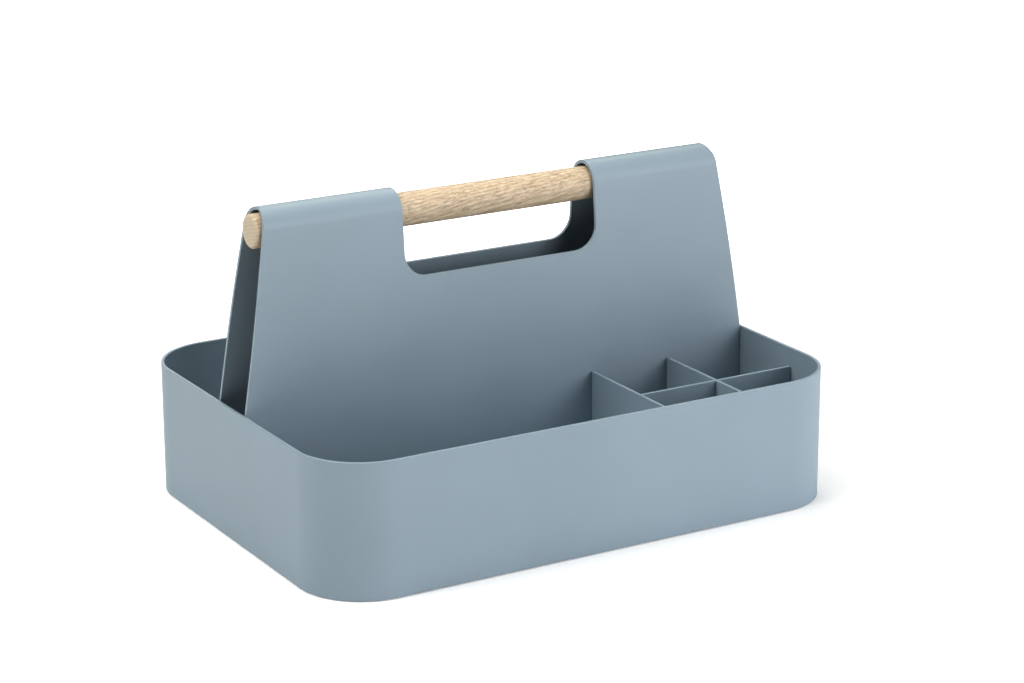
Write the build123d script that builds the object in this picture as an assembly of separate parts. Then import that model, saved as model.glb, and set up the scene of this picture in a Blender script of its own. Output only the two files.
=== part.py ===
from build123d import *
import math
import os

# Tool storage caddy, in millimetres. The origin is the middle of its footprint, on the surface
# that it stands on. X runs along the handle, Y from front to back and Z up.

# Sheet steel
SHEET = 2.2                # tray and saddle, coating included
EDGE_ROUND = 0.5           # softened cut edges
CLEAR = 1.0                # how far a cutting shape runs past the metal

# Tray: a sheet band bent round four corners, with a flat plate welded inside it
TRAY_LENGTH = 380.0
TRAY_WIDTH = 278.0
CORNER_RADIUS = 44.8       # outside of the band
WALL_BOTTOM = 0.6
WALL_HEIGHT = 88.6
BASE_BOTTOM = 3.2
BASE_TOP = BASE_BOTTOM + SHEET
RIM = WALL_BOTTOM + WALL_HEIGHT
INNER_LENGTH = TRAY_LENGTH - 2 * SHEET
INNER_WIDTH = TRAY_WIDTH - 2 * SHEET

# Foot pads under the base
PAD_RADIUS = 8.0
PAD_X = 150.0
PAD_Y = 100.0
PAD_ROUND = 0.4
FEET = {"front_left": (-1, -1), "front_right": (1, -1), "rear_left": (-1, 1), "rear_right": (1, 1)}

# Saddle: one sheet folded over the dowel, with two bowed legs and inward flanges
ROLL_Z = 202.5             # centre of the fold
ROLL_RADIUS = 14.2         # outside of the fold
LEG_Y = 19.5               # outside of each leg where it stands upright
BOW_Z = 100.0              # the legs are upright below this height
FLANGE_DEPTH = 15.0
BEND_RADIUS = 3.0          # outside of the flange bend
CROWN_HALF = 165.8         # half length along the top of the fold
RIM_HALF = 187.3           # half length at the tray's rim and below it
SADDLE_TOP = ROLL_Z + ROLL_RADIUS

# The bow is an arc that meets the upright leg and the fold without a kink
BOW_RISE = ROLL_Z - BOW_Z
BOW_RADIUS = (LEG_Y ** 2 + BOW_RISE ** 2 - ROLL_RADIUS ** 2) / (2 * (LEG_Y - ROLL_RADIUS))
BOW_ANGLE = math.atan2(BOW_RISE, BOW_RADIUS - LEG_Y)

# Hand slot through the fold and both legs
SLOT_HALF = 71.6
SLOT_BOTTOM = 161.1
SLOT_CORNER = 16.0

# Dowel and what holds it up in the fold
DOWEL_RADIUS = 11.0
DOWEL_Z = 201.5
DOWEL_HALF = 172.2
DOWEL_ROUND = 2.0
STUD_X = 118.0             # each way from the middle
STUD_RADIUS = 2.5
STUD_END = 193.3
STUD_HOLE = 2.75
SPACER_RADIUS = 4.5
POCKET_RADIUS = 6.0        # counterbore in the dowel's underside
POCKET_TOP = 199.0
WASHER_RADIUS = 5.0
WASHER_THICK = 0.8
CAP_NUT_FLATS = 8.0
CAP_NUT_HEIGHT = 3.7
CAP_NUT_DOME = 3.3

# Screws that hold the saddle's flanges to the base
SCREW_XS = (-150.0, 0.0, 150.0)
SCREW_Y = 10.5
SCREW_RADIUS = 2.0
SCREW_HOLE = 2.25
SCREW_HEAD_RADIUS = 3.8
SCREW_HEAD_HEIGHT = 2.0
SCREW_HEAD_ROUND = 1.4
SCREW_END = 0.8            # past the nut
HEX_SOCKET_FLATS = 2.5
HEX_SOCKET_DEPTH = 1.2
NUT_RADIUS = 3.9
NUT_HEIGHT = 2.2
NUT_SHANK_RADIUS = 2.7
NUT_BORE = 2.05
SCREW_LENGTH = 2 * SHEET + NUT_HEIGHT + SCREW_END

# Divider insert, which lifts out of the front bay
PLATE = SHEET
DIVIDER_TOP = 76.7
CELL = 60.0                # pitch of the columns of cells
END_GAP = 1.0              # left at the ends of every plate
LIFT_GAP = 0.3             # under the plates and round their tabs
LAP_GAP = 0.05
TAB_LENGTH = 12.0
TAB_Y = (-112.0, -45.0)
TENON_HEIGHT = 10.0
FRONT_Y = -INNER_WIDTH / 2
CROSS_RIGHT_X = INNER_LENGTH / 2 - CELL
CROSS_LEFT_X = CROSS_RIGHT_X - CELL
LONG_Y = (FRONT_Y - LEG_Y) / 2
PLATE_BOTTOM = BASE_TOP + LIFT_GAP
PLATE_MIDDLE = (PLATE_BOTTOM + DIVIDER_TOP) / 2


def block(low, high):
    """A box between two opposite corners."""
    size = [b - a for a, b in zip(low, high)]
    middle = [(a + b) / 2 for a, b in zip(low, high)]
    return Pos(*middle) * Box(*size)


def rod(radius, bottom, top, x=0.0, y=0.0):
    """An upright cylinder."""
    return Pos(x, y, (bottom + top) / 2) * Cylinder(radius, top - bottom)


def hexagon(flats, bottom, top, x=0.0, y=0.0):
    """An upright hexagonal prism, sized across its flats."""
    outline = RegularPolygon(flats / 2, 6, major_radius=False)
    return Pos(x, y, bottom) * extrude(outline, top - bottom)


def tray_wall():
    outside = RectangleRounded(TRAY_LENGTH, TRAY_WIDTH, CORNER_RADIUS)
    inside = RectangleRounded(INNER_LENGTH, INNER_WIDTH, CORNER_RADIUS - SHEET)
    band = Pos(0, 0, WALL_BOTTOM) * extrude(outside - inside, WALL_HEIGHT)
    ends = band.faces().sort_by(Axis.Z)
    cut_edges = ends[0].edges() + ends[-1].edges()
    return fillet(cut_edges, EDGE_ROUND)


def tab_slots():
    """Slots in the base that take the tabs of the divider plates."""
    slots = []
    for x in (CROSS_LEFT_X, CROSS_RIGHT_X):
        for y in TAB_Y:
            half_x = PLATE / 2 + LIFT_GAP
            half_y = TAB_LENGTH / 2 + LIFT_GAP
            low = (x - half_x, y - half_y, BASE_BOTTOM - CLEAR)
            high = (x + half_x, y + half_y, BASE_TOP + CLEAR)
            slots.append(block(low, high))
    return slots


def base_plate():
    outline = RectangleRounded(INNER_LENGTH, INNER_WIDTH, CORNER_RADIUS - SHEET)
    plate = Pos(0, 0, BASE_BOTTOM) * extrude(outline, SHEET)
    holes = [rod(SCREW_HOLE, 0, BASE_TOP + CLEAR, x, y) for x in SCREW_XS for y in (-SCREW_Y, SCREW_Y)]
    return plate - holes - tab_slots()


def foot_pad(side_x, side_y):
    pad = rod(PAD_RADIUS, 0, BASE_BOTTOM, side_x * PAD_X, side_y * PAD_Y)
    return fillet(pad.edges().sort_by(Axis.Z)[0], PAD_ROUND)


def on_arc(centre, radius, angle):
    """A point of the cross-section, which lies in the plane of Y and Z."""
    y = centre[0] + radius * math.cos(angle)
    z = centre[1] + radius * math.sin(angle)
    return (0, y, z)


def half_section(depth):
    """Rear half of the saddle's cross-section, this far under its outer surface."""
    bend_centre = (LEG_Y - BEND_RADIUS, BASE_TOP + BEND_RADIUS)
    bow_centre = (LEG_Y - BOW_RADIUS, BOW_Z)
    roll_centre = (0, ROLL_Z)
    bend = BEND_RADIUS - depth
    bow = BOW_RADIUS - depth
    roll = ROLL_RADIUS - depth
    tip = (0, LEG_Y - FLANGE_DEPTH, BASE_TOP + depth)
    flange_end = on_arc(bend_centre, bend, -math.pi / 2)
    leg_start = on_arc(bend_centre, bend, 0)
    leg_end = on_arc(bow_centre, bow, 0)
    fold_start = on_arc(bow_centre, bow, BOW_ANGLE)
    crown = on_arc(roll_centre, roll, math.pi / 2)
    return [
        Line(tip, flange_end),
        ThreePointArc(flange_end, on_arc(bend_centre, bend, -math.pi / 4), leg_start),
        Line(leg_start, leg_end),
        ThreePointArc(leg_end, on_arc(bow_centre, bow, BOW_ANGLE / 2), fold_start),
        ThreePointArc(fold_start, on_arc(roll_centre, roll, (BOW_ANGLE + math.pi / 2) / 2), crown),
    ]


def saddle_section():
    outer = half_section(0)
    inner = half_section(SHEET)
    tip = Line(outer[0] @ 0, inner[0] @ 0)
    rear = outer + inner + [tip]
    front = [edge.mirror(Plane.XZ) for edge in rear]
    return Face(Wire(rear + front))


def edge_half(run):
    """Half length of the saddle, this far down the sheet from the crown."""
    return CROWN_HALF + (RIM_HALF - CROWN_HALF) * run / run_to(RIM)


def run_to(height):
    """Length of sheet from the crown down to a height on the outer surface."""
    fold_run = ROLL_RADIUS * (math.pi / 2 - BOW_ANGLE)
    if height > ROLL_Z + ROLL_RADIUS * math.sin(BOW_ANGLE):
        angle = math.asin((height - ROLL_Z) / ROLL_RADIUS)
        return ROLL_RADIUS * (math.pi / 2 - angle)
    if height > BOW_Z:
        return fold_run + BOW_RADIUS * (BOW_ANGLE - math.asin((height - BOW_Z) / BOW_RADIUS))
    return fold_run + BOW_RADIUS * BOW_ANGLE + BOW_Z - height


def end_cutter():
    """Everything beyond the saddle's slanted right end, as one prism along Y."""
    fold_foot = ROLL_Z + ROLL_RADIUS * math.sin(BOW_ANGLE)
    fold_heights = [ROLL_Z + ROLL_RADIUS * math.cos(step * math.pi / 12) for step in range(6)]
    bow_heights = [fold_foot + (BOW_Z - fold_foot) * step / 4 for step in range(5)]
    fold_edge = Spline([(edge_half(run_to(z)), 0, z) for z in fold_heights + [fold_foot]])
    bow_edge = Spline([(edge_half(run_to(z)), 0, z) for z in bow_heights])
    crown = fold_edge @ 0
    rim = (RIM_HALF, 0, RIM)
    far = TRAY_LENGTH
    above = SADDLE_TOP + CLEAR
    rest = Polyline(bow_edge @ 1, rim, (RIM_HALF, 0, 0), (far, 0, 0), (far, 0, above),
                    (CROWN_HALF, 0, above), crown)
    outline = Wire([fold_edge, bow_edge] + rest.edges())
    return extrude(Face(outline), TRAY_WIDTH / 2, dir=(0, 1, 0), both=True)


def hand_slot():
    low = (-SLOT_HALF, -TRAY_WIDTH / 2, SLOT_BOTTOM)
    high = (SLOT_HALF, TRAY_WIDTH / 2, SADDLE_TOP + CLEAR)
    opening = block(low, high)
    corners = opening.edges().filter_by(Axis.Y).sort_by(Axis.Z)[:2]
    return fillet(corners, SLOT_CORNER)


def handle_saddle():
    sheet = extrude(saddle_section(), RIM_HALF, dir=(1, 0, 0), both=True)
    right_end = end_cutter()
    holes = [rod(NUT_SHANK_RADIUS + LAP_GAP, 0, BASE_TOP + SHEET + CLEAR, x, y)
             for x in SCREW_XS for y in (-SCREW_Y, SCREW_Y)]
    return sheet - right_end - mirror(right_end, Plane.YZ) - hand_slot() - holes


def along_x(radius, half_length, z):
    """A round bar along X."""
    return Pos(0, 0, z) * Rot(0, 90, 0) * Cylinder(radius, 2 * half_length)


def handle_dowel():
    bar = along_x(DOWEL_RADIUS, DOWEL_HALF, DOWEL_Z)
    bar = fillet(bar.edges().filter_by(GeomType.CIRCLE), DOWEL_ROUND)
    for x in (-STUD_X, STUD_X):
        bar -= rod(STUD_HOLE, 0, SADDLE_TOP, x)
        bar -= rod(POCKET_RADIUS, 0, POCKET_TOP, x)
    return bar


def inside_fold():
    """The space that the fold leaves round the dowel's axis."""
    return along_x(ROLL_RADIUS - SHEET, DOWEL_HALF, ROLL_Z)


def handle_studs():
    """Threaded studs welded to the inside of the fold."""
    return [rod(STUD_RADIUS, STUD_END, SADDLE_TOP, x) & inside_fold() for x in (-STUD_X, STUD_X)]


def handle_spacers():
    """Collars on the studs that hold the dowel off the fold."""
    dowel = along_x(DOWEL_RADIUS, DOWEL_HALF, DOWEL_Z)
    collars = []
    for x in (-STUD_X, STUD_X):
        collar = rod(SPACER_RADIUS, DOWEL_Z, SADDLE_TOP, x) & inside_fold()
        collars.append(collar - dowel - rod(STUD_HOLE, 0, SADDLE_TOP + CLEAR, x))
    return collars


def handle_washers():
    bottom = POCKET_TOP - WASHER_THICK
    return [rod(WASHER_RADIUS, bottom, POCKET_TOP, x) - rod(STUD_HOLE, 0, SADDLE_TOP, x)
            for x in (-STUD_X, STUD_X)]


def handle_nuts():
    """Domed nuts on the studs, in the dowel's underside."""
    top = POCKET_TOP - WASHER_THICK
    bottom = top - CAP_NUT_HEIGHT
    nuts = []
    for x in (-STUD_X, STUD_X):
        dome = Pos(x, 0, bottom) * Sphere(CAP_NUT_DOME)
        nut = hexagon(CAP_NUT_FLATS, bottom, top, x) + dome
        nuts.append(nut - rod(STUD_RADIUS + LAP_GAP, STUD_END - LAP_GAP, SADDLE_TOP, x))
    return nuts


def flange_screws():
    """Button-head screws from under the base."""
    head_bottom = BASE_BOTTOM - SCREW_HEAD_HEIGHT
    screws = []
    for x in SCREW_XS:
        for y in (-SCREW_Y, SCREW_Y):
            head = rod(SCREW_HEAD_RADIUS, head_bottom, BASE_BOTTOM, x, y)
            head = fillet(head.edges().sort_by(Axis.Z)[0], SCREW_HEAD_ROUND)
            shank = rod(SCREW_RADIUS, BASE_BOTTOM, BASE_BOTTOM + SCREW_LENGTH, x, y)
            socket = hexagon(HEX_SOCKET_FLATS, head_bottom - CLEAR, head_bottom + HEX_SOCKET_DEPTH, x, y)
            screws.append(head + shank - socket)
    return screws


def clinch_nuts():
    """Round nuts pressed into the saddle's flanges."""
    nuts = []
    for x in SCREW_XS:
        for y in (-SCREW_Y, SCREW_Y):
            flange_top = BASE_TOP + SHEET
            body = rod(NUT_RADIUS, flange_top, flange_top + NUT_HEIGHT, x, y)
            body = chamfer(body.edges().sort_by(Axis.Z)[-1], EDGE_ROUND)
            shank = rod(NUT_SHANK_RADIUS, BASE_TOP, flange_top, x, y)
            nuts.append(body + shank - rod(NUT_BORE, 0, RIM, x, y))
    return nuts


def cross_plate(x, lap_side):
    """A plate across the front bay, with two tabs for the base. lap_side is 1 where the long
    plate's notch leaves this one its upper half, and 0 where the long plate ends in it."""
    half = PLATE / 2
    front = FRONT_Y + END_GAP
    rear = -LEG_Y - END_GAP
    plate = block((x - half, front, PLATE_BOTTOM), (x + half, rear, DIVIDER_TOP))
    for y in TAB_Y:
        low = (x - half, y - TAB_LENGTH / 2, BASE_BOTTOM)
        plate += block(low, (x + half, y + TAB_LENGTH / 2, PLATE_BOTTOM))
    gap = half + LAP_GAP
    if lap_side:
        return plate - block((x - PLATE, LONG_Y - gap, 0), (x + PLATE, LONG_Y + gap, PLATE_MIDDLE))
    for z in tenon_heights():
        low = (x - PLATE, LONG_Y - gap, z - TENON_HEIGHT / 2 - LAP_GAP)
        plate -= block(low, (x + PLATE, LONG_Y + gap, z + TENON_HEIGHT / 2 + LAP_GAP))
    return plate


def tenon_heights():
    """Middles of the two tenons that hold the long plate in the left cross plate."""
    quarter = (DIVIDER_TOP - PLATE_BOTTOM) / 4
    return (PLATE_MIDDLE - quarter, PLATE_MIDDLE + quarter)


def long_plate():
    half = PLATE / 2
    left = CROSS_LEFT_X + half
    right = INNER_LENGTH / 2 - END_GAP
    plate = block((left, LONG_Y - half, PLATE_BOTTOM), (right, LONG_Y + half, DIVIDER_TOP))
    for z in tenon_heights():
        low = (CROSS_LEFT_X - half, LONG_Y - half, z - TENON_HEIGHT / 2)
        plate += block(low, (left, LONG_Y + half, z + TENON_HEIGHT / 2))
    gap = half + LAP_GAP
    low = (CROSS_RIGHT_X - gap, LONG_Y - PLATE, PLATE_MIDDLE)
    return plate - block(low, (CROSS_RIGHT_X + gap, LONG_Y + PLATE, DIVIDER_TOP + CLEAR))


PARTS = {
    "tray_wall": tray_wall(),
    "base_plate": base_plate(),
    "handle_saddle": handle_saddle(),
    "handle_dowel": handle_dowel(),
    "handle_studs": handle_studs(),
    "handle_spacers": handle_spacers(),
    "handle_washers": handle_washers(),
    "handle_nuts": handle_nuts(),
    "flange_screws": flange_screws(),
    "clinch_nuts": clinch_nuts(),
    "divider_cross_left": cross_plate(CROSS_LEFT_X, 0),
    "divider_cross_right": cross_plate(CROSS_RIGHT_X, 1),
    "divider_long": long_plate(),
}
for name, (side_x, side_y) in FEET.items():
    PARTS["foot_pad_" + name] = foot_pad(side_x, side_y)

os.makedirs("parts", exist_ok=True)
for node, shape in PARTS.items():
    solids = shape if isinstance(shape, list) else [shape]
    pieces = [solid for item in solids for solid in item.solids()]
    whole = pieces[0] if len(pieces) == 1 else Compound(children=pieces)
    export_step(whole, f"parts/{node}.step")
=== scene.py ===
"""Looks of the tool storage caddy: bent and folded sheet steel with a satin blue-grey powder coat,
an oak dowel handle and a lift-out divider insert. Everything is in metres."""
import math

import bmesh
import bpy
from mathutils import Matrix, Vector


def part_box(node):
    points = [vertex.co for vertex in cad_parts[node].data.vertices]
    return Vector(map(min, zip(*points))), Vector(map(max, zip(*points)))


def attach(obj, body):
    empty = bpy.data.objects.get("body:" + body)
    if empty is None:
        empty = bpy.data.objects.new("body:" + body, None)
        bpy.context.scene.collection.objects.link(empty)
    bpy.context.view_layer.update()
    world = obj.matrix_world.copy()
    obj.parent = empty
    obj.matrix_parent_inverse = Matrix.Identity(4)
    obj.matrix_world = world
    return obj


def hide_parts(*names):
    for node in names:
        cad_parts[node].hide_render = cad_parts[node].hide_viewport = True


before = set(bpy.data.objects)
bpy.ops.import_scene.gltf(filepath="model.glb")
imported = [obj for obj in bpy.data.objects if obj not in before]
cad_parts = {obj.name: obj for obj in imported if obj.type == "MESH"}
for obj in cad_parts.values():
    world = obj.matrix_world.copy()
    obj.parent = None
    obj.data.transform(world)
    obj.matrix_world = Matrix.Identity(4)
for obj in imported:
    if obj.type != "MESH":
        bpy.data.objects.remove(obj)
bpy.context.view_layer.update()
bpy.ops.object.select_all(action="DESELECT")

# Places that the frame gives
WALL_LOW, WALL_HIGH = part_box("tray_wall")
BASE_LOW, BASE_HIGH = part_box("base_plate")
SADDLE_LOW, SADDLE_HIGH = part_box("handle_saddle")
DOWEL_LOW, DOWEL_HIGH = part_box("handle_dowel")
CROSS_LOW, CROSS_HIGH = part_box("divider_cross_right")
LEFT_CROSS_LOW, LEFT_CROSS_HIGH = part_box("divider_cross_left")
LONG_LOW, LONG_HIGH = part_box("divider_long")

# Sheet and edges
MM = 0.001
SHEET = BASE_HIGH.z - BASE_LOW.z
EDGE_ROUND = 0.5 * MM
PLATE_ROUND = 0.35 * MM
CORNER_RADIUS = 44.8 * MM
SEAM = 0.12 * MM
SHARP = math.radians(50)
NEAR = 0.01 * MM

# The saddle's sheet, measured on its outside
ROLL_RADIUS = 14.2 * MM
BOW_Z = 100.0 * MM
BEND_RADIUS = 3.0 * MM
FLANGE_DEPTH = 15.0 * MM
CROWN_HALF = 165.8 * MM
SLOT_HALF = 71.6 * MM
SLOT_BOTTOM = 161.1 * MM
SLOT_CORNER = 16.0 * MM
LEG_Y = SADDLE_HIGH.y
ROLL_Z = SADDLE_HIGH.z - ROLL_RADIUS
BOW_RISE = ROLL_Z - BOW_Z
BOW_RADIUS = (LEG_Y ** 2 + BOW_RISE ** 2 - ROLL_RADIUS ** 2) / (2 * (LEG_Y - ROLL_RADIUS))
BOW_ANGLE = math.atan2(BOW_RISE, BOW_RADIUS - LEG_Y)

# Dowel and fasteners
DOWEL_ROUND = 2.0 * MM
STUD_XS = (-118.0 * MM, 118.0 * MM)
STUD_HOLE = 2.75 * MM
POCKET_RADIUS = 6.0 * MM
POCKET_TOP = 199.0 * MM
SCREW_XS = (-150.0 * MM, 0.0, 150.0 * MM)
SCREW_YS = (-10.5 * MM, 10.5 * MM)
SCREW_HOLE = 2.25 * MM
NUT_HOLE = 2.75 * MM

# Stitch welds between the floor and the band, from below. Widths are shares of the full bead's
BEAD_RADIUS = 1.8 * MM
BEAD_RIPPLE = 1.3 * MM
BEAD_RIPPLES = 12
RIPPLE_WIDTHS = (1.0, 0.93, 0.86)
BEAD_TIP = 0.35
BEAD_START = 0.5
BEAD_FINISH = 0.45
TAPER_RINGS = 8
BEAD_SMOOTH = math.radians(60)
LONG_SIDE_WELDS = 6
SHORT_SIDE_WELDS = 4
WELD_PITCH = 48.0 * MM

# Divider insert
LAP_GAP = 0.05 * MM
LIFT_GAP = 0.3 * MM
TAB_LENGTH = 12.0 * MM
TAB_YS = (-112.0 * MM, -45.0 * MM)
TENON_HEIGHT = 10.0 * MM
PLATE = LONG_HIGH.y - LONG_LOW.y
LONG_Y = (LONG_HIGH.y + LONG_LOW.y) / 2
CROSS_X = (CROSS_HIGH.x + CROSS_LOW.x) / 2
LEFT_CROSS_X = (LEFT_CROSS_HIGH.x + LEFT_CROSS_LOW.x) / 2
PLATE_MIDDLE = (LONG_HIGH.z + LONG_LOW.z) / 2

# How finely round stretches are divided
TRAY_CORNER_STEPS = 28
SLOT_CORNER_STEPS = 16
ROLL_STEPS = 20
BOW_STEPS = 12
BEND_STEPS = 8
EDGE_STEPS = 3
FLOOR_EDGE_STEPS = 2
HOLE_SIDES = 32
DOWEL_SIDES = 128
DOWEL_END_STEPS = 6
BEAD_SIDES = 14


# Modelling

def middle(part):
    """Middle of an edge or a face."""
    return sum((point.co for point in part.verts), Vector()) / len(part.verts)


def span(centre, half):
    """The two ends of a stretch."""
    return (centre - half, centre + half)


def within(value, ends):
    """Whether a value lies between two ends."""
    return ends[0] < value < ends[1]


def row(count, pitch):
    """Evenly spaced places, centred on 0."""
    return [(number - (count - 1) / 2) * pitch for number in range(count)]


def pick(kind, test):
    """In edit mode, selects only the points, edges or faces that pass the test."""
    bpy.ops.mesh.select_mode(type=kind)
    bpy.ops.mesh.select_all(action="DESELECT")
    mesh = bpy.context.edit_object.data
    shape = bmesh.from_edit_mesh(mesh)
    parts = {"VERT": shape.verts, "EDGE": shape.edges, "FACE": shape.faces}[kind]
    parts.index_update()
    for part in parts:
        if test(part):
            part.select_set(True)
    shape.select_flush_mode()
    bmesh.update_edit_mesh(mesh)


def start(name):
    """Names the primitive just added, applies its place, and opens it in edit mode."""
    piece = bpy.context.object
    piece.name = name
    piece.data.name = name
    bpy.ops.object.transform_apply(location=True, rotation=True, scale=True)
    bpy.ops.object.mode_set(mode="EDIT")
    return piece


def start_plane(name, low, high):
    """A rectangle from one corner to the other, lying across the axis in which they agree."""
    low, high = Vector(low), Vector(high)
    size = high - low
    turn = (0, 0, 0)
    scale = (size.x, size.y, 1)
    if size.x < NEAR:
        turn = (0, math.pi / 2, 0)
        scale = (size.z, size.y, 1)
    elif size.y < NEAR:
        turn = (math.pi / 2, 0, 0)
        scale = (size.x, size.z, 1)
    bpy.ops.mesh.primitive_plane_add(size=1, location=(low + high) / 2, rotation=turn)
    bpy.context.object.scale = scale
    return start(name)


def cut_line(place, direction):
    """Scores the whole piece along a plane, in edit mode."""
    bpy.ops.mesh.select_all(action="SELECT")
    bpy.ops.mesh.bisect(plane_co=place, plane_no=direction)


def round_corners(radius, segments, test):
    """Rounds the corners of a flat outline that pass the test, in edit mode."""
    pick("VERT", test)
    bpy.ops.mesh.bevel(offset=radius, segments=segments, affect="VERTICES", profile=0.5)


def face_out():
    """Turns all the faces outwards, or a flat sheet's one way, in edit mode."""
    bpy.ops.mesh.select_all(action="SELECT")
    bpy.ops.mesh.normals_make_consistent(inside=False)


def tidy_flat():
    """Joins the flat faces that scoring left and turns them one way, in edit mode."""
    bpy.ops.mesh.select_all(action="SELECT")
    bpy.ops.mesh.dissolve_limited(angle_limit=math.radians(1))
    face_out()


def modify(piece, kind, **settings):
    """Adds a modifier to the piece and applies it."""
    made = piece.modifiers.new(kind.lower(), kind)
    for setting, value in settings.items():
        setattr(made, setting, value)
    bpy.ops.object.modifier_apply(modifier=made.name)


def thicken(piece, thickness, offset=-1):
    """Gives a sheet its thickness: inwards from the drawn face, or half each way at offset 0."""
    modify(piece, "SOLIDIFY", thickness=thickness, offset=offset, use_even_offset=True)


def soften(piece, radius, segments=EDGE_STEPS):
    """Rounds the piece's sharp edges and keeps its flat faces flat in the light."""
    modify(piece, "BEVEL", width=radius, segments=segments, limit_method="ANGLE",
           angle_limit=SHARP, use_clamp_overlap=True)
    bpy.ops.object.shade_smooth_by_angle(angle=SHARP)
    modify(piece, "WEIGHTED_NORMAL", keep_sharp=True, weight=100, mode="FACE_AREA")


def make_active(piece):
    """Selects one piece alone."""
    bpy.ops.object.select_all(action="DESELECT")
    piece.select_set(True)
    bpy.context.view_layer.objects.active = piece


def rod_cutter(radius, bottom, top, x, y):
    """An upright rod to cut a hole with."""
    bpy.ops.mesh.primitive_cylinder_add(vertices=HOLE_SIDES, radius=radius, depth=top - bottom,
                                        location=(x, y, (bottom + top) / 2))
    return bpy.context.object


def cut_away(piece, cutters):
    """Cuts the cutters' shapes out of the piece and removes them."""
    bpy.ops.object.select_all(action="DESELECT")
    for cutter in cutters:
        cutter.select_set(True)
    bpy.context.view_layer.objects.active = cutters[0]
    bpy.ops.object.join()
    tool = bpy.context.object
    make_active(piece)
    modify(piece, "BOOLEAN", object=tool, operation="DIFFERENCE", solver="EXACT")
    bpy.data.objects.remove(tool)


def drill_for_screws(piece, radius):
    """Drills the six holes where the floor is screwed to the saddle's flanges."""
    cut_away(piece, [rod_cutter(radius, 0, BASE_HIGH.z * 2, x, y) for x in SCREW_XS for y in SCREW_YS])


def hand_over(piece, body, nodes, material):
    """Gives a finished piece its material and its place in the frame."""
    piece.data.materials.clear()
    piece.data.materials.append(material)
    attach(piece, body)
    if nodes:
        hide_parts(*nodes)
    bpy.ops.object.select_all(action="DESELECT")


# Tray

def make_tray_wall(material):
    """The band: an outline with rounded corners, drawn up and given its thickness."""
    wall = start_plane("tray_band", (WALL_LOW.x, WALL_LOW.y, WALL_LOW.z),
                       (WALL_HIGH.x, WALL_HIGH.y, WALL_LOW.z))
    round_corners(CORNER_RADIUS, TRAY_CORNER_STEPS, lambda point: True)
    bpy.ops.mesh.select_all(action="SELECT")
    bpy.ops.mesh.delete(type="ONLY_FACE")
    bpy.ops.mesh.select_all(action="SELECT")
    rise = {"value": (0, 0, WALL_HIGH.z - WALL_LOW.z)}
    bpy.ops.mesh.extrude_region_move(TRANSFORM_OT_translate=rise)
    face_out()
    bpy.ops.object.mode_set(mode="OBJECT")
    thicken(wall, SHEET)
    soften(wall, EDGE_ROUND)
    hand_over(wall, "caddy", ["tray_wall"], material)


def make_base_plate(material):
    """The tray's floor, a hair inside the band, with slots for the insert's tabs."""
    plate = start_plane("base_floor", (BASE_LOW.x + SEAM, BASE_LOW.y + SEAM, BASE_HIGH.z),
                        (BASE_HIGH.x - SEAM, BASE_HIGH.y - SEAM, BASE_HIGH.z))
    round_corners(CORNER_RADIUS - SHEET - SEAM, TRAY_CORNER_STEPS, lambda point: True)
    slot_xs = (LEFT_CROSS_X, CROSS_X)
    for x in slot_xs:
        for end in span(x, PLATE / 2 + LIFT_GAP):
            cut_line((end, 0, 0), (1, 0, 0))
    for y in TAB_YS:
        for end in span(y, TAB_LENGTH / 2 + LIFT_GAP):
            cut_line((0, end, 0), (0, 1, 0))

    def in_slot(face):
        centre = middle(face)
        in_x = any(within(centre.x, span(x, PLATE / 2)) for x in slot_xs)
        return in_x and any(within(centre.y, span(y, TAB_LENGTH / 2)) for y in TAB_YS)

    pick("FACE", in_slot)
    bpy.ops.mesh.delete(type="FACE")
    tidy_flat()
    bpy.ops.object.mode_set(mode="OBJECT")
    thicken(plate, SHEET)
    drill_for_screws(plate, SCREW_HOLE)
    soften(plate, PLATE_ROUND, FLOOR_EDGE_STEPS)
    hand_over(plate, "caddy", ["base_plate"], material)


def make_bead():
    """One weld bead along X: a disc drawn out ring by ring, a little wider at each ripple."""
    bpy.ops.mesh.primitive_circle_add(vertices=BEAD_SIDES, radius=BEAD_RADIUS, fill_type="NGON",
                                      rotation=(0, math.pi / 2, 0))
    bead = start("weld_bead")
    pick("FACE", lambda face: True)
    bpy.ops.transform.resize(value=(1, BEAD_TIP, BEAD_TIP), center_override=(0, 0, 0))
    width = BEAD_TIP
    rings = len(RIPPLE_WIDTHS)
    steps = rings * BEAD_RIPPLES
    advance = {"value": (BEAD_RIPPLE / rings, 0, 0)}
    for step in range(1, steps + 1):
        bpy.ops.mesh.extrude_region_move(TRANSFORM_OT_translate=advance)
        taper = min(1.0, BEAD_START + step / TAPER_RINGS, BEAD_FINISH + (steps - step) / TAPER_RINGS)
        wanted = taper * RIPPLE_WIDTHS[step % rings]
        grow = wanted / width
        centre = (step * BEAD_RIPPLE / rings, 0, 0)
        bpy.ops.transform.resize(value=(1, grow, grow), center_override=centre)
        width = wanted
    face_out()
    bpy.ops.object.mode_set(mode="OBJECT")
    bpy.ops.object.shade_smooth_by_angle(angle=BEAD_SMOOTH)
    return bead


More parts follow.
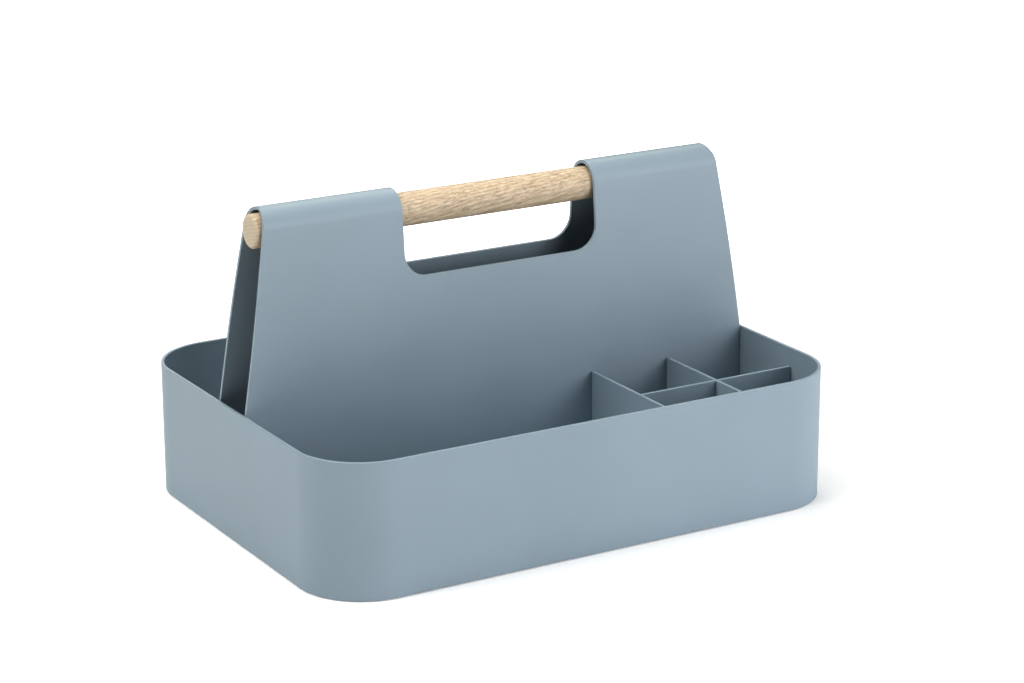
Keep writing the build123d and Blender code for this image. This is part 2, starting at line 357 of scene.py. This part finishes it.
def make_welds(material):
    """Stitch welds in the corner between the floor's underside and the band."""
    bead = make_bead()
    corner = Vector((WALL_HIGH.x - SHEET, WALL_HIGH.y - SHEET, BASE_LOW.z))
    half_bead = BEAD_RIPPLES * BEAD_RIPPLE / 2
    places = []
    for side in (-1, 1):
        for along in row(LONG_SIDE_WELDS, WELD_PITCH):
            places.append(((along - half_bead, side * corner.y, corner.z), 0.0))
        for along in row(SHORT_SIDE_WELDS, WELD_PITCH):
            places.append(((side * corner.x, along - half_bead, corner.z), math.pi / 2))
    copies = []
    for place, turn in places:
        make_active(bead)
        bpy.ops.object.duplicate()
        copy = bpy.context.object
        copy.location = place
        copy.rotation_euler = (0, 0, turn)
        copies.append(copy)
    bpy.data.objects.remove(bead)
    for copy in copies:
        copy.select_set(True)
    bpy.context.view_layer.objects.active = copies[0]
    bpy.ops.object.transform_apply(location=True, rotation=True, scale=True)
    bpy.ops.object.join()
    welds = bpy.context.object
    welds.name = "floor_welds"
    hand_over(welds, "caddy", [], material)


# Handle

def add_arc(folds, run, radius, angle, steps):
    """Adds the folds that turn a flat stretch into an arc, and says where it ends."""
    step = angle / steps
    chord = 2 * radius * math.sin(step / 2)
    for number in range(steps + 1):
        share = 0.5 if number in (0, steps) else 1.0
        folds.append((run + number * chord, step * share))
    return run + steps * chord


def fold_list():
    """Each fold line of half the saddle, as how far down the sheet it is and by what angle it
    turns, and the length of the sheet."""
    folds = []
    run = add_arc(folds, 0.0, ROLL_RADIUS, math.pi / 2 - BOW_ANGLE, ROLL_STEPS)
    run = add_arc(folds, run, BOW_RADIUS, BOW_ANGLE, BOW_STEPS)
    run += BOW_Z - SADDLE_LOW.z - BEND_RADIUS
    run = add_arc(folds, run, BEND_RADIUS, math.pi / 2, BEND_STEPS)
    return folds, run + FLANGE_DEPTH - BEND_RADIUS


def run_to(height):
    """How far down the sheet a height on the bowed or upright leg is."""
    roll = ROLL_RADIUS * (math.pi / 2 - BOW_ANGLE)
    if height > BOW_Z:
        return roll + BOW_RADIUS * (BOW_ANGLE - math.asin((height - BOW_Z) / BOW_RADIUS))
    return roll + BOW_RADIUS * BOW_ANGLE + BOW_Z - height


def fold_up(folds):
    """Turns all of the sheet beyond each fold line about that line, in edit mode."""
    mesh = bpy.context.edit_object.data
    flat = [point.co.y for point in bmesh.from_edit_mesh(mesh).verts]
    for run, angle in folds:
        shape = bmesh.from_edit_mesh(mesh)
        shape.verts.index_update()
        line = [point.co.copy() for point in shape.verts if abs(flat[point.index] - run) < NEAR]
        hinge = sum(line, Vector()) / len(line)
        pick("VERT", lambda point: flat[point.index] > run + NEAR)
        bpy.ops.transform.rotate(value=angle, orient_axis="X", orient_type="GLOBAL",
                                 center_override=hinge)


def make_saddle(material):
    """The saddle, made the way it is made in steel: a quarter of the flat blank is cut out,
    folded line by line, and mirrored to the other three quarters."""
    folds, length = fold_list()
    rim_half = SADDLE_HIGH.x
    rim_run = run_to(WALL_HIGH.z)
    slot_run = run_to(SLOT_BOTTOM)
    top = SADDLE_HIGH.z
    sheet = start_plane("saddle_sheet", (0, 0, top), (rim_half, length, top))
    cut_line((0, rim_run, top), (0, 1, 0))
    pick("VERT", lambda point: point.co.x > rim_half - NEAR and point.co.y < NEAR)
    bpy.ops.transform.translate(value=(CROWN_HALF - rim_half, 0, 0))
    cut_line((SLOT_HALF, 0, top), (1, 0, 0))
    cut_line((0, slot_run, top), (0, 1, 0))
    pick("FACE", lambda face: middle(face).x < SLOT_HALF and middle(face).y < slot_run)
    bpy.ops.mesh.delete(type="FACE")
    tidy_flat()
    corner = Vector((SLOT_HALF, slot_run, top))
    round_corners(SLOT_CORNER, SLOT_CORNER_STEPS, lambda point: (point.co - corner).length < 10 * NEAR)
    for run, _ in folds[1:]:
        cut_line((0, run, top), (0, 1, 0))
    fold_up(folds)
    bpy.ops.object.mode_set(mode="OBJECT")
    modify(sheet, "MIRROR", use_axis=(True, True, False), merge_threshold=NEAR)
    bpy.ops.object.mode_set(mode="EDIT")
    face_out()
    bpy.ops.object.mode_set(mode="OBJECT")
    thicken(sheet, SHEET)
    drill_for_screws(sheet, NUT_HOLE)
    soften(sheet, EDGE_ROUND)
    hand_over(sheet, "caddy", ["handle_saddle"], material)


def make_dowel(material):
    """The round bar, with rounded ends, holes for its studs and pockets for its nuts."""
    bpy.ops.mesh.primitive_cylinder_add(vertices=DOWEL_SIDES, radius=(DOWEL_HIGH.z - DOWEL_LOW.z) / 2,
                                        depth=DOWEL_HIGH.x - DOWEL_LOW.x,
                                        location=(DOWEL_LOW + DOWEL_HIGH) / 2,
                                        rotation=(0, math.pi / 2, 0))
    bar = start("oak_bar")
    pick("EDGE", lambda edge: abs(middle(edge).x) > DOWEL_HIGH.x - NEAR)
    bpy.ops.mesh.bevel(offset=DOWEL_ROUND, segments=DOWEL_END_STEPS, affect="EDGES", profile=0.5)
    bpy.ops.object.mode_set(mode="OBJECT")
    for radius, top in ((STUD_HOLE, DOWEL_HIGH.z + MM), (POCKET_RADIUS, POCKET_TOP)):
        cut_away(bar, [rod_cutter(radius, DOWEL_LOW.z - MM, top, x, 0) for x in STUD_XS])
    soften(bar, PLATE_ROUND)
    hand_over(bar, "caddy", ["handle_dowel"], material)


# Divider insert

def make_plate(name, low, high, cuts_along, cuts_up, is_gone, node, material):
    """A divider plate: a rectangle, scored along its cut lines, with some cells cut out."""
    centre = (low + high) / 2
    if high.x - low.x > high.y - low.y:
        along = Vector((1, 0, 0))
        plate = start_plane(name, (low.x, centre.y, low.z), (high.x, centre.y, high.z))
    else:
        along = Vector((0, 1, 0))
        plate = start_plane(name, (centre.x, low.y, low.z), (centre.x, high.y, high.z))
    for place in cuts_along:
        cut_line(along * place, along)
    for height in cuts_up:
        cut_line((0, 0, height), (0, 0, 1))
    pick("FACE", lambda face: is_gone(middle(face).dot(along), middle(face).z))
    bpy.ops.mesh.delete(type="FACE")
    tidy_flat()
    bpy.ops.object.mode_set(mode="OBJECT")
    thicken(plate, PLATE, offset=0)
    soften(plate, PLATE_ROUND)
    hand_over(plate, "divider_insert", [node], material)


def make_dividers(material):
    """The two cross plates, with tabs at their feet, and the long plate. The long plate has a half
    lap with the right cross plate, and tenons in mortises in the left one."""
    bottom = LONG_LOW.z
    quarter = (LONG_HIGH.z - bottom) / 4
    tenons = [span(PLATE_MIDDLE + side * quarter, TENON_HEIGHT / 2) for side in (-1, 1)]
    mortises = [(low - LAP_GAP, high + LAP_GAP) for low, high in tenons]
    tabs = [span(y, TAB_LENGTH / 2) for y in TAB_YS]
    notch = span(LONG_Y, PLATE / 2 + LAP_GAP)
    long_notch = span(CROSS_X, PLATE / 2 + LAP_GAP)
    cross_cuts = [*tabs[0], *tabs[1], *notch]

    def below(y, z):
        return z < bottom and not any(within(y, tab) for tab in tabs)

    def off_right(y, z):
        return below(y, z) or (within(y, notch) and z < PLATE_MIDDLE)

    def off_left(y, z):
        return below(y, z) or (within(y, notch) and any(within(z, mortise) for mortise in mortises))

    def off_long(x, z):
        if within(x, long_notch):
            return z > PLATE_MIDDLE
        return x < LEFT_CROSS_HIGH.x and not any(within(z, tenon) for tenon in tenons)

    make_plate("cross_right", CROSS_LOW, CROSS_HIGH, cross_cuts, [bottom, PLATE_MIDDLE],
               off_right, "divider_cross_right", material)
    make_plate("cross_left", LEFT_CROSS_LOW, LEFT_CROSS_HIGH, cross_cuts,
               [bottom, *mortises[0], *mortises[1]], off_left, "divider_cross_left", material)
    make_plate("long_plate", LONG_LOW, LONG_HIGH, [LEFT_CROSS_HIGH.x, *long_notch],
               [PLATE_MIDDLE, *tenons[0], *tenons[1]], off_long, "divider_long", material)


# Material helpers

def new_material(name):
    """A material, its nodes and its surface shader."""
    material = bpy.data.materials.new(name)
    material.use_nodes = True
    return material, material.node_tree, material.node_tree.nodes["Principled BSDF"]


def add_node(tree, kind, settings=None, **inputs):
    """Adds a node. An input goes by its name, or by its number after "_", and is a value or
    another node's output."""
    made = tree.nodes.new(kind)
    for key, value in (settings or {}).items():
        setattr(made, key, value)
    for key, value in inputs.items():
        socket = made.inputs[int(key[1:])] if key[0] == "_" else made.inputs[key.replace("_", " ")]
        if isinstance(value, bpy.types.NodeSocket):
            tree.links.new(value, socket)
        else:
            socket.default_value = value
    return made


def object_place(tree):
    """The place on the piece, in metres."""
    return add_node(tree, "ShaderNodeTexCoord").outputs["Object"]


def noise(tree, where, scale=1.0, detail=2.0, roughness=0.5):
    """Soft blotches, so many to a metre."""
    made = add_node(tree, "ShaderNodeTexNoise", Vector=where, Scale=scale, Detail=detail,
                    Roughness=roughness)
    return made.outputs["Fac"]


def drawn_out(tree, where, scales, detail=2.0, roughness=0.5):
    """Blotches drawn out into streaks, so many to a metre along each axis."""
    streaks = add_node(tree, "ShaderNodeMapping", Vector=where, Scale=scales).outputs[0]
    return noise(tree, streaks, detail=detail, roughness=roughness)


def ramp(tree, value, stops):
    """Colours a value by the colours at its stops."""
    made = add_node(tree, "ShaderNodeValToRGB", Fac=value)
    elements = made.color_ramp.elements
    while len(elements) < len(stops):
        elements.new(0.5)
    for element, (place, colour) in zip(elements, stops):
        element.position = place
        element.color = (*colour, 1)
    return made.outputs["Color"]


def reckon(tree, operation, first, second=0.0, third=0.0):
    """One sum of one, two or three values."""
    return add_node(tree, "ShaderNodeMath", {"operation": operation}, _0=first, _1=second,
                    _2=third).outputs[0]


def length_of(tree, vector):
    """How long a vector is."""
    return add_node(tree, "ShaderNodeVectorMath", {"operation": "LENGTH"}, _0=vector).outputs["Value"]


def spread(tree, value, low, high, start=0.3, end=0.7):
    """Maps noise, which is mostly between 0.3 and 0.7, onto a range."""
    made = add_node(tree, "ShaderNodeMapRange", Value=value, From_Min=start, From_Max=end,
                    To_Min=low, To_Max=high)
    return made.outputs["Result"]


def lay_over(tree, share, under, over):
    """Lays a colour over another at this share."""
    made = add_node(tree, "ShaderNodeMix", {"data_type": "RGBA"}, _0=share, _6=under, _7=over)
    return made.outputs[2]


def stain(tree, under, over):
    """Multiplies a colour by another."""
    made = add_node(tree, "ShaderNodeMix", {"data_type": "RGBA", "blend_type": "MULTIPLY"}, _0=1.0,
                    _6=under, _7=over)
    return made.outputs[2]


def raise_bumps(tree, surface, height, strength, depth):
    """Raises the surface by a height, in which 1 stands for this depth in metres."""
    bump = add_node(tree, "ShaderNodeBump", Strength=strength, Distance=depth, Height=height)
    tree.links.new(bump.outputs["Normal"], surface.inputs["Normal"])


def finish_nodes(material, *nodes):
    """Gives the carried-over parts their finish."""
    for node in nodes:
        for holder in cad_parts[node].material_slots:
            holder.material = material


# Powder coat

COAT_SHADES = [(0.42, (0.305, 0.379, 0.434)), (0.82, (0.334, 0.413, 0.471))]


def powder_coat():
    """Satin powder coat: fine orange peel, slightly uneven in shade and gloss."""
    material, tree, surface = new_material("blue_grey_powder_coat")
    where = object_place(tree)
    patches = noise(tree, where, scale=9.0, detail=3.0)
    grains = noise(tree, where, scale=3200.0, detail=1.0)
    shade = reckon(tree, "MULTIPLY_ADD", grains, 0.25, patches)
    tree.links.new(ramp(tree, shade, COAT_SHADES), surface.inputs["Base Color"])
    tree.links.new(spread(tree, patches, 0.40, 0.48), surface.inputs["Roughness"])
    peel = noise(tree, where, scale=620.0)
    fine = noise(tree, where, scale=2600.0, detail=1.0)
    height = reckon(tree, "MULTIPLY_ADD", fine, 0.35, peel)
    raise_bumps(tree, surface, height, strength=0.35, depth=0.06 * MM)
    return material


# Oak. Streaks and strokes are so many to a metre along the log and across it both ways, and ray
# sheets so many to a radian round the pith, and to a metre outwards and along. The turn is in radians

RING = 2.3 * MM
RING_WANDER = 1.9 * RING
PITH = (0.0, 0.034, -0.150)
LOG_TURN = (0.0, 0.16, 0.09)
EARLY_WOOD = (0.560, 0.445, 0.312)
EARLY_EDGE = (0.615, 0.495, 0.355)
LATE_WOOD = (0.695, 0.573, 0.422)
LATE_EDGE = (0.665, 0.543, 0.396)
RING_COLOURS = [(0.0, EARLY_WOOD), (0.16, EARLY_EDGE), (0.55, LATE_WOOD), (0.90, LATE_EDGE),
                (1.0, EARLY_WOOD)]
GRAIN_COLOURS = [(0.52, (0.60, 0.55, 0.50)), (0.72, (0.97, 0.97, 0.97)), (0.94, (1.20, 1.23, 1.27))]
WANDER_STREAKS = (22.0, 90.0, 90.0)
FIBRE_STREAKS = (95.0, 850.0, 850.0)
THREAD_STREAKS = (300.0, 2300.0, 2300.0)
PORE_STREAKS = (330.0, 2500.0, 2500.0)
WARM_STROKES = (150.0, 1000.0, 1000.0)
DARK_STROKES = (120.0, 1150.0, 1150.0)
RAY_SHEETS = (85.0, 90.0, 130.0)
WARM_STROKE = (0.76, 0.47, 0.31, 1)
DARK_STROKE = (0.43, 0.37, 0.27, 1)
RAY = (0.74, 0.62, 0.48, 1)
PORE = (0.36, 0.25, 0.16, 1)
SAWN_WOOD = (0.60, 0.49, 0.37, 1)
END_GRAIN = (0.95, 1.00, 1.06, 1)


def growth_ring(tree, log, out):
    """How far through its ring a place is, from 0 to 1, at its distance out from the pith."""
    wander = drawn_out(tree, log, WANDER_STREAKS)
    grown = reckon(tree, "MULTIPLY_ADD", wander, RING_WANDER, out)
    return reckon(tree, "FRACT", reckon(tree, "DIVIDE", grown, RING))


def strokes(tree, log, scales, strength):
    """Short strokes along the fibre."""
    streaks = drawn_out(tree, log, scales, detail=1.0)
    return spread(tree, streaks, 0.0, strength, start=0.58, end=0.70)


def ray_flecks(tree, log_parts, out):
    """The rays, in thin sheets that run out from the pith and along the log."""
    turn = reckon(tree, "ARCTAN2", log_parts["Z"], log_parts["Y"])
    round_it, outwards, along = RAY_SHEETS
    sheets = add_node(tree, "ShaderNodeCombineXYZ", X=reckon(tree, "MULTIPLY", turn, round_it),
                      Y=reckon(tree, "MULTIPLY", out, outwards),
                      Z=reckon(tree, "MULTIPLY", log_parts["X"], along)).outputs[0]
    return spread(tree, noise(tree, sheets, detail=1.0), 0.0, 0.55, start=0.60, end=0.68)


def end_mask(tree):
    """One on the flat ends of the bar and nothing on its side."""
    facing = add_node(tree, "ShaderNodeTexCoord").outputs["Normal"]
    along = add_node(tree, "ShaderNodeSeparateXYZ", Vector=facing).outputs["X"]
    return spread(tree, reckon(tree, "ABSOLUTE", along), 0.0, 1.0, start=0.5, end=0.9)


def oak():
    """Pale oiled oak: growth rings round a pith well outside the bar, short drawn-out fibre that runs
    a little across the bar, pores in the early wood of each ring, rays that run out from the pith,
    and greyer wood on the sawn ends."""
    material, tree, surface = new_material("oiled_oak")
    log = add_node(tree, "ShaderNodeMapping", Vector=object_place(tree), Location=PITH,
                   Rotation=LOG_TURN).outputs[0]
    log_parts = add_node(tree, "ShaderNodeSeparateXYZ", Vector=log).outputs
    across = add_node(tree, "ShaderNodeCombineXYZ", Y=log_parts["Y"], Z=log_parts["Z"]).outputs[0]
    out = length_of(tree, across)
    ring = growth_ring(tree, log, out)
    fibre = drawn_out(tree, log, FIBRE_STREAKS, detail=3.0, roughness=0.65)
    thread = drawn_out(tree, log, THREAD_STREAKS)
    threaded = reckon(tree, "MULTIPLY_ADD", thread, 0.5, fibre)
    tubes = spread(tree, drawn_out(tree, log, PORE_STREAKS, detail=1.0), 0.0, 0.5, start=0.56, end=0.68)
    early = spread(tree, ring, 1.0, 0.12, start=0.25, end=0.50)
    pores = reckon(tree, "MULTIPLY", tubes, early)

    wood = stain(tree, ramp(tree, ring, RING_COLOURS), ramp(tree, threaded, GRAIN_COLOURS))
    wood = lay_over(tree, strokes(tree, log, WARM_STROKES, 0.4), wood, WARM_STROKE)
    wood = lay_over(tree, strokes(tree, log, DARK_STROKES, 0.45), wood, DARK_STROKE)
    wood = lay_over(tree, ray_flecks(tree, log_parts, out), wood, RAY)
    wood = lay_over(tree, pores, wood, PORE)
    sawn = stain(tree, lay_over(tree, 0.55, wood, SAWN_WOOD), END_GRAIN)
    tree.links.new(lay_over(tree, end_mask(tree), wood, sawn), surface.inputs["Base Color"])
    tree.links.new(spread(tree, fibre, 0.50, 0.62), surface.inputs["Roughness"])
    height = reckon(tree, "MULTIPLY_ADD", pores, -1.5, threaded)
    raise_bumps(tree, surface, height, strength=0.35, depth=0.12 * MM)
    return material


# Fasteners and feet

ZINC_CAST = [(0.35, (0.50, 0.53, 0.56)), (0.65, (0.62, 0.60, 0.54))]
NYLON_MOTTLE = [(0.35, (0.075, 0.078, 0.084)), (0.65, (0.105, 0.107, 0.112))]
RUBBER_BLOOM = [(0.35, (0.040, 0.041, 0.044)), (0.65, (0.062, 0.063, 0.066))]


def zinc():
    """Bright zinc plate: a cool and a warm cast in patches, with fine scratches."""
    material, tree, surface = new_material("zinc_plate")
    where = object_place(tree)
    cast = noise(tree, where, scale=260.0)
    tree.links.new(ramp(tree, cast, ZINC_CAST), surface.inputs["Base Color"])
    scratches = drawn_out(tree, where, (900.0, 900.0, 5200.0), detail=3.0)
    tree.links.new(spread(tree, scratches, 0.26, 0.42), surface.inputs["Roughness"])
    surface.inputs["Metallic"].default_value = 1.0
    raise_bumps(tree, surface, scratches, strength=0.2, depth=0.03 * MM)
    return material


def nylon():
    """Dark turned nylon with faint tool rings."""
    material, tree, surface = new_material("grey_nylon")
    where = object_place(tree)
    mottle = noise(tree, where, scale=700.0, detail=3.0)
    tree.links.new(ramp(tree, mottle, NYLON_MOTTLE), surface.inputs["Base Color"])
    tool_rings = drawn_out(tree, where, (60.0, 60.0, 4200.0), detail=1.0)
    tree.links.new(spread(tree, tool_rings, 0.42, 0.58), surface.inputs["Roughness"])
    raise_bumps(tree, surface, tool_rings, strength=0.25, depth=0.04 * MM)
    return material


def rubber():
    """Moulded rubber with a fine spark-eroded grain."""
    material, tree, surface = new_material("grey_rubber")
    where = object_place(tree)
    bloom = noise(tree, where, scale=320.0, detail=3.0)
    tree.links.new(ramp(tree, bloom, RUBBER_BLOOM), surface.inputs["Base Color"])
    tree.links.new(spread(tree, bloom, 0.68, 0.84), surface.inputs["Roughness"])
    raise_bumps(tree, surface, noise(tree, where, scale=4200.0), strength=0.4, depth=0.05 * MM)
    return material


# Scene. Azimuths and elevations are in degrees, lens and sensor in millimetres

CAMERA_TARGET = Vector((44.4, 46.4, 83.5)) * MM
CAMERA_DISTANCE = 1957.2 * MM
CAMERA_AZIMUTH = -30.58
CAMERA_ELEVATION = 17.2
CAMERA_TILT = -0.12
LENS = 100.9
SENSOR = 36.0
LIGHT_TARGET = Vector((0, 0, 100.0)) * MM
NEUTRAL = (1, 1, 1)
DAYLIGHT = (1, 1, 0.99)
COOL = (0.985, 0.997, 1.02)
WARM = (1, 0.985, 0.94)
AMBER = (1, 0.96, 0.88)
FLOOR_SIZE = 40
FLOOR_PAPER = (0.9, 0.9, 0.9, 1)
FLOOR_GLOW = 0.08
FLOOR_LIFT = 0.15
FLOOR_FADE = (0.35, 1.0)
VIEW_GAMMA = 0.8


def bearing(azimuth, elevation):
    """The direction from the caddy to what stands at this azimuth and elevation."""
    turn = math.radians(azimuth)
    rise = math.radians(elevation)
    return Vector((math.sin(turn) * math.cos(rise), -math.cos(turn) * math.cos(rise), math.sin(rise)))


def make_camera():
    """The camera stands back from its target, and is tilted a little about its own axis."""
    back = bearing(CAMERA_AZIMUTH, CAMERA_ELEVATION)
    right = Vector((0, 0, 1)).cross(back).normalized()
    up = back.cross(right)
    tilt = Matrix.Rotation(math.radians(CAMERA_TILT), 3, "Z")
    axes = Matrix((right, up, back)).transposed() @ tilt
    lens = bpy.data.cameras.new("camera")
    lens.lens = LENS
    lens.sensor_width = SENSOR
    camera = bpy.data.objects.new("camera", lens)
    camera.matrix_world = Matrix.Translation(CAMERA_TARGET + back * CAMERA_DISTANCE) @ axes.to_4x4()
    bpy.context.scene.collection.objects.link(camera)
    bpy.context.scene.camera = camera


def soft_light(name, azimuth, elevation, distance, size, power, tint):
    """A square diffuser that faces the caddy from this direction."""
    back = bearing(azimuth, elevation)
    lamp = bpy.data.lights.new(name, "AREA")
    lamp.size = size
    lamp.energy = power
    lamp.color = tint
    light = bpy.data.objects.new(name, lamp)
    light.location = LIGHT_TARGET + back * distance
    light.rotation_euler = back.to_track_quat("Z", "Y").to_euler()
    light.visible_camera = False
    bpy.context.scene.collection.objects.link(light)


def make_lights():
    """A window's light from the left, softer boxes from the right and above, and two behind."""
    soft_light("left_window", azimuth=-92, elevation=41, distance=1.5, size=0.9, power=12.8, tint=DAYLIGHT)
    soft_light("right_front_box", azimuth=25, elevation=15, distance=1.8, size=1.1, power=19.4, tint=COOL)
    soft_light("right_fill", azimuth=80, elevation=25, distance=1.8, size=1.2, power=7.5, tint=NEUTRAL)
    soft_light("overhead_box", azimuth=-90, elevation=78, distance=1.5, size=1.2, power=14.5, tint=WARM)
    soft_light("back_box", azimuth=175, elevation=15, distance=1.8, size=1.2, power=6.0, tint=NEUTRAL)
    soft_light("back_lamp", azimuth=143, elevation=50, distance=1.0, size=0.5, power=2.6, tint=AMBER)


def seen(tree):
    """One for what the camera sees itself, and nothing for light on its way round."""
    return add_node(tree, "ShaderNodeLightPath").outputs["Is Camera Ray"]


def make_room():
    """White all round where it is seen, and dark to everything but the camera."""
    world = bpy.data.worlds.new("white_room")
    world.use_nodes = True
    tree = world.node_tree
    walls = tree.nodes["Background"]
    walls.inputs["Color"].default_value = (1, 1, 1, 1)
    tree.links.new(seen(tree), walls.inputs["Strength"])
    bpy.context.scene.world = world


def make_floor():
    """White paper that glows a little, so that it stays pale near the caddy and is white beyond."""
    bpy.ops.mesh.primitive_plane_add(size=FLOOR_SIZE, location=(0, 0, 0))
    floor = bpy.context.object
    floor.name = "pale_floor"
    material, tree, surface = new_material("white_paper")
    surface.inputs["Base Color"].default_value = FLOOR_PAPER
    surface.inputs["Roughness"].default_value = 0.9
    surface.inputs["Specular IOR Level"].default_value = 0.0
    surface.inputs["Emission Color"].default_value = (1, 1, 1, 1)
    away = length_of(tree, object_place(tree))
    lift = add_node(tree, "ShaderNodeMapRange", {"interpolation_type": "SMOOTHSTEP"}, Value=away,
                    From_Min=FLOOR_FADE[0], From_Max=FLOOR_FADE[1], To_Min=FLOOR_LIFT, To_Max=1.0)
    glow = reckon(tree, "MULTIPLY_ADD", seen(tree), lift.outputs["Result"], FLOOR_GLOW)
    tree.links.new(glow, surface.inputs["Emission Strength"])
    floor.data.materials.append(material)


def make_stage():
    """Lights, room and floor, and how the view is developed."""
    make_lights()
    make_room()
    make_floor()
    view = bpy.context.scene.view_settings
    view.view_transform = "Standard"
    view.gamma = VIEW_GAMMA


coat = powder_coat()
wood = oak()
make_tray_wall(coat)
make_base_plate(coat)
make_saddle(coat)
make_dividers(coat)
make_dowel(wood)
make_welds(coat)
finish_nodes(zinc(), "handle_studs", "handle_washers", "handle_nuts", "flange_screws", "clinch_nuts")
finish_nodes(nylon(), "handle_spacers")
finish_nodes(rubber(), *[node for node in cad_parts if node.startswith("foot_pad")])
make_camera()
make_stage()
